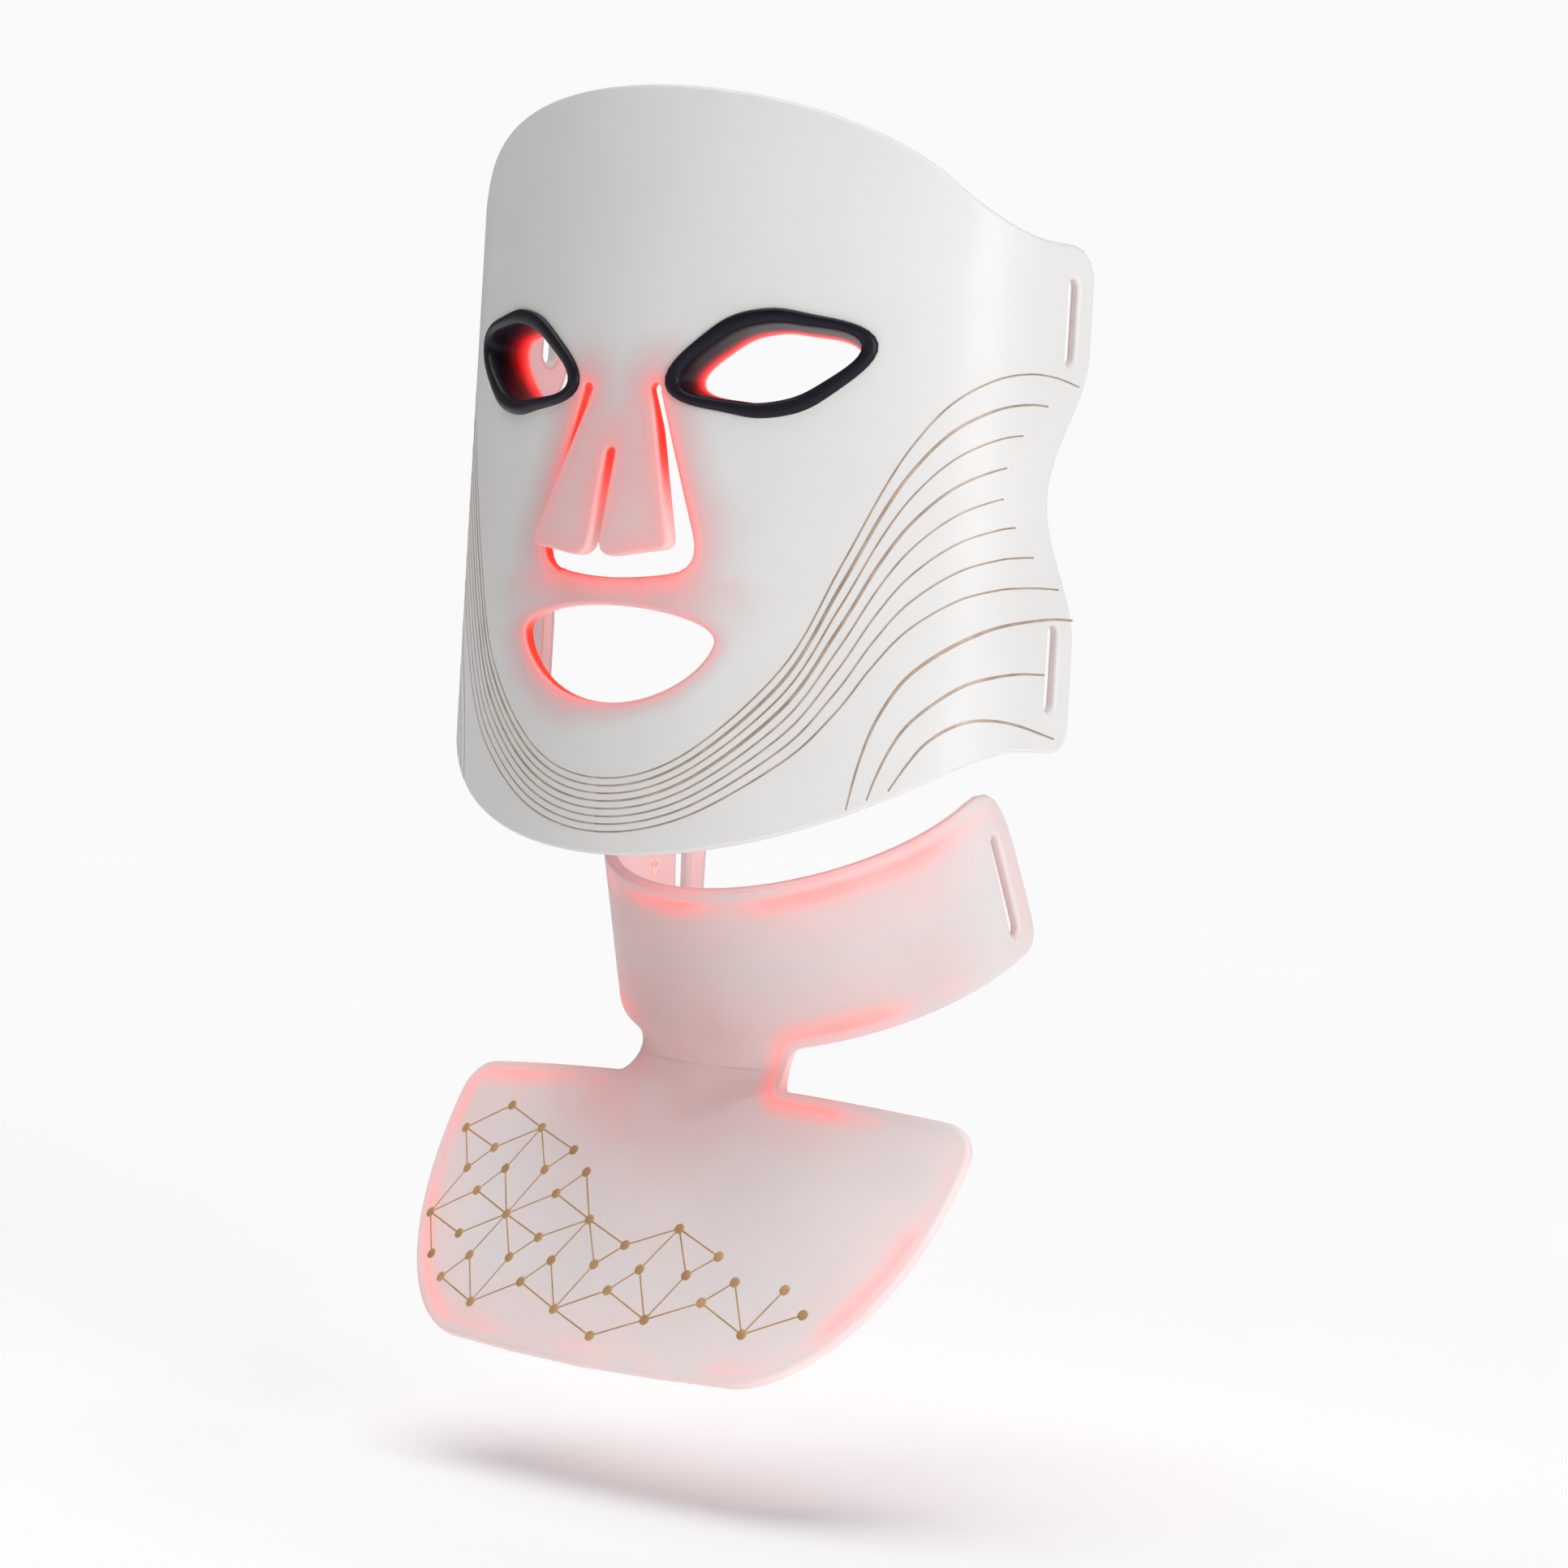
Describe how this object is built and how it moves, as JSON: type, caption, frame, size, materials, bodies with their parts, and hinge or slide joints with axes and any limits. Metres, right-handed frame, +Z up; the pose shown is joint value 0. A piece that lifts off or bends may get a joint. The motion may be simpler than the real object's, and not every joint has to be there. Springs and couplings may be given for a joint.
{
  "type": "led face mask",
  "caption": "Flexible light therapy face mask with gasketed eye openings, nose flap, mouth opening and strap slots, and a separate neck and chest panel, each a layered silicone LED sheet.",
  "frame": {"origin": "middle of the wearer's head, at eye level in the plane of the ears", "axes": "+Z up, -Y out through the front of the mask, +X to the wearer's left"},
  "size_m": [0.1732, 0.1151, 0.3144],
  "materials": {
    "mask_cover": "satin white silicone",
    "neck_cover": "satin translucent white silicone",
    "lining": "translucent silicone, lit pink",
    "gasket": "satin black silicone",
    "circuit": "satin polyimide film",
    "red_led": "moulded LED package",
    "infrared_led": "moulded LED package",
    "chip": "moulded black plastic",
    "port_metal": "satin"
  },
  "bodies": {
    "face": {"face_cover": "mask_cover", "face_inner_cover": "lining", "face_circuit": "circuit", "face_red_leds": "red_led", "face_infrared_leds": "infrared_led", "face_driver_chips": "chip", "left_eye_gasket": "gasket", "right_eye_gasket": "gasket", "mask_inlet_boot": "lining", "mask_inlet_shell": "port_metal", "mask_inlet_tongue": "chip"},
    "left_wing": {"left_wing_cover": "mask_cover", "left_wing_inner_cover": "lining", "left_wing_circuit": "circuit", "left_wing_red_leds": "red_led", "left_wing_infrared_leds": "infrared_led"},
    "right_wing": {"right_wing_cover": "mask_cover", "right_wing_inner_cover": "lining", "right_wing_circuit": "circuit", "right_wing_red_leds": "red_led", "right_wing_infrared_leds": "infrared_led"},
    "nose_flap": {"nose_flap_cover": "mask_cover", "nose_flap_inner_cover": "lining", "nose_flap_circuit": "circuit", "nose_flap_red_leds": "red_led"},
    "collar": {"collar_cover": "neck_cover", "collar_inner_cover": "lining", "collar_circuit": "circuit", "collar_red_leds": "red_led", "collar_infrared_leds": "infrared_led"},
    "collar_left_wing": {"collar_left_wing_cover": "neck_cover", "collar_left_wing_inner_cover": "lining", "collar_left_wing_circuit": "circuit", "collar_left_wing_red_leds": "red_led"},
    "collar_right_wing": {"collar_right_wing_cover": "neck_cover", "collar_right_wing_inner_cover": "lining", "collar_right_wing_circuit": "circuit", "collar_right_wing_red_leds": "red_led"},
    "bib": {"bib_cover": "neck_cover", "bib_inner_cover": "lining", "bib_circuit": "circuit", "bib_red_leds": "red_led", "bib_infrared_leds": "infrared_led", "bib_driver_chips": "chip", "bib_inlet_boot": "lining", "bib_inlet_shell": "port_metal", "bib_inlet_tongue": "chip"}
  },
  "joints": [
    {"name": "left_wing_flex", "type": "hinge", "parent": "face", "child": "left_wing", "pos_m": [0.07665, -0.05965, 0], "axis": [0, 0, -1], "range_deg": [-8, 35], "stiffness_Nm_per_rad": 0.05},
    {"name": "right_wing_flex", "type": "hinge", "parent": "face", "child": "right_wing", "pos_m": [-0.07665, -0.05965, 0], "axis": [0, 0, 1], "range_deg": [-8, 35], "stiffness_Nm_per_rad": 0.05},
    {"name": "nose_flap_flex", "type": "hinge", "parent": "face", "child": "nose_flap", "pos_m": [0, -0.0914, -0.013], "axis": [-1, 0, 0], "range_deg": [-10, 14], "stiffness_Nm_per_rad": 0.02},
    {"name": "neck_panel_lift", "type": "slide", "parent": "face", "child": "collar", "axis": [0, 0, 1], "range_m": [-0.02, 0.012]},
    {"name": "collar_left_flex", "type": "hinge", "parent": "collar", "child": "collar_left_wing", "pos_m": [0.0454, -0.02975, -0.14459], "axis": [0.1253, 0.3792, -0.9168], "range_deg": [-10, 30], "stiffness_Nm_per_rad": 0.05},
    {"name": "collar_right_flex", "type": "hinge", "parent": "collar", "child": "collar_right_wing", "pos_m": [-0.0454, -0.02975, -0.14459], "axis": [0.1253, -0.3792, 0.9168], "range_deg": [-10, 30], "stiffness_Nm_per_rad": 0.05},
    {"name": "bib_flex", "type": "hinge", "parent": "collar", "child": "bib", "pos_m": [0, -0.0445, -0.1772], "axis": [-1, 0, 0], "range_deg": [-15, 25], "stiffness_Nm_per_rad": 0.4}
  ]
}
